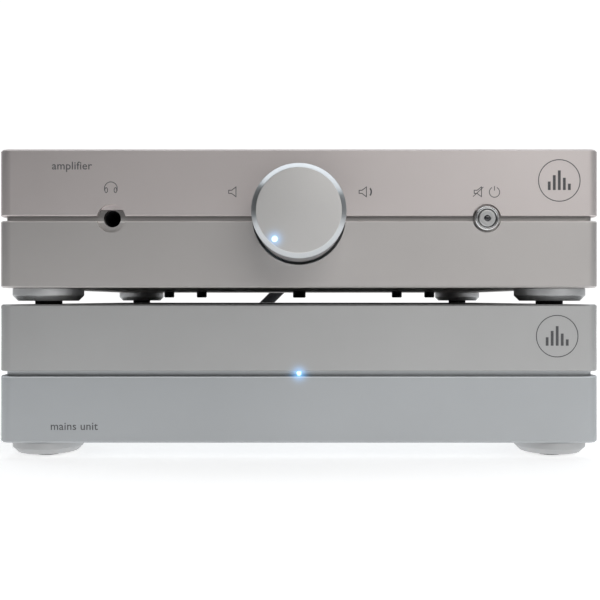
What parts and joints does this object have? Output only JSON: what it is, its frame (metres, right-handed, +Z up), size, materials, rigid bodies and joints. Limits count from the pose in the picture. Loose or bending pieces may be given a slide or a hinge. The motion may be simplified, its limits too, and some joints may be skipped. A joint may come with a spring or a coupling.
{
  "type": "headphone amplifier",
  "caption": "Headphone amplifier in a flat silver case with a big volume knob, headphone socket and mute button, stacked on its matching power supply case and joined to it by a lead.",
  "frame": {"origin": "middle of the footprint of the bounding box, measured without the link lead, on the surface that the lower feet stand on", "axes": "+Z up, the front face with the knob looks along -Y, +X to the right seen from the front"},
  "size_m": [0.228, 0.3549, 0.1175],
  "materials": {
    "case_silver": "bead-blasted, clear anodised, satin",
    "knob_silver": "satin face with a bright turned bevel",
    "foot_silver": "turned, satin",
    "panel_silver": "fine brushed, satin",
    "button_silver": "turned, bright edges",
    "black_screws": "black oxide",
    "bright_steel": "plated",
    "pad_rubber": "matt",
    "black_plastic": "fine moulded texture",
    "white_plastic": "smooth insulator",
    "red_plastic": "smooth insulator",
    "board_green": "lacquered",
    "gold_plate": "gold plated",
    "winding_amber": "taped copper winding on a steel core",
    "blue_light": "clear light guide, glowing",
    "lens_dark": "smoked",
    "fuse_glass": "clear",
    "cord_braid": "woven black sleeve"
  },
  "bodies": {
    "power_supply": {"psu_cover": "case_silver", "psu_tray": "case_silver", "psu_feet": "foot_silver", "psu_foot_pads": "pad_rubber", "psu_case_screws": "bright_steel", "psu_rear_panel": "panel_silver", "psu_rear_panel_screws": "black_screws", "power_light": "blue_light", "psu_circuit_board": "board_green", "psu_board_pillars": "gold_plate", "transformer": "winding_amber", "transformer_clamp": "bright_steel", "reservoir_capacitors": "black_plastic", "regulator_heat_sink": "panel_silver", "voltage_regulators": "black_plastic", "mains_inlet": "black_plastic", "mains_pins": "gold_plate", "mains_switch_frame": "black_plastic", "dc_outlet": "bright_steel", "link_plug_lower": "black_plastic", "link_cord": "cord_braid"},
    "amplifier": {"amp_cover": "case_silver", "amp_tray": "case_silver", "amp_feet": "foot_silver", "amp_foot_pads": "pad_rubber", "amp_case_screws": "bright_steel", "amp_rear_panel": "panel_silver", "amp_rear_panel_screws": "black_screws", "potentiometer_bracket": "bright_steel", "volume_potentiometer": "black_plastic", "potentiometer_nut": "bright_steel", "headphone_socket": "black_plastic", "mute_bezel": "button_silver", "mute_switch": "black_plastic", "mute_button_spring": "bright_steel", "amp_circuit_board": "board_green", "amp_board_pillars": "gold_plate", "amp_heat_sink": "panel_silver", "amp_heat_sink_screws": "black_screws", "output_transistors": "black_plastic", "filter_capacitors": "black_plastic", "op_amps": "black_plastic", "mute_relays": "black_plastic", "phono_input_left": "gold_plate", "phono_input_right": "gold_plate", "phono_output_left": "gold_plate", "phono_output_right": "gold_plate", "phono_insulators": "white_plastic", "amp_socket_board": "board_green", "dc_inlet": "bright_steel", "link_plug_upper": "black_plastic"},
    "volume_knob": {"volume_knob": "knob_silver", "knob_light_guide": "blue_light", "knob_grub_screw": "black_screws", "volume_shaft": "bright_steel"},
    "mute_button": {"mute_button": "button_silver", "mute_button_lens": "lens_dark"},
    "mains_rocker": {"mains_rocker": "black_plastic"},
    "fuse_drawer": {"fuse_drawer": "black_plastic", "mains_fuse": "fuse_glass"}
  },
  "joints": [
    {"name": "lift_off", "type": "slide", "parent": "power_supply", "child": "amplifier", "axis": [0, 0, 1], "range_m": [0, 0.06]},
    {"name": "volume_turn", "type": "hinge", "parent": "amplifier", "child": "volume_knob", "pos_m": [0, -0.10395, 0.0913], "axis": [0, 1, 0], "range_deg": [0, 280]},
    {"name": "mute_press", "type": "slide", "parent": "amplifier", "child": "mute_button", "axis": [0, 1, 0], "range_m": [0, 0.0012], "stiffness_N_per_m": 400, "springref_m": -0.002, "deforming": ["mute_button_spring"]},
    {"name": "rocker_tilt", "type": "hinge", "parent": "power_supply", "child": "mains_rocker", "pos_m": [0.016, 0.12055, 0.03255], "axis": [-1, 0, 0], "range_deg": [0, 16]},
    {"name": "fuse_drawer_pull", "type": "slide", "parent": "power_supply", "child": "fuse_drawer", "axis": [0, 1, 0], "range_m": [0, 0.02]}
  ]
}
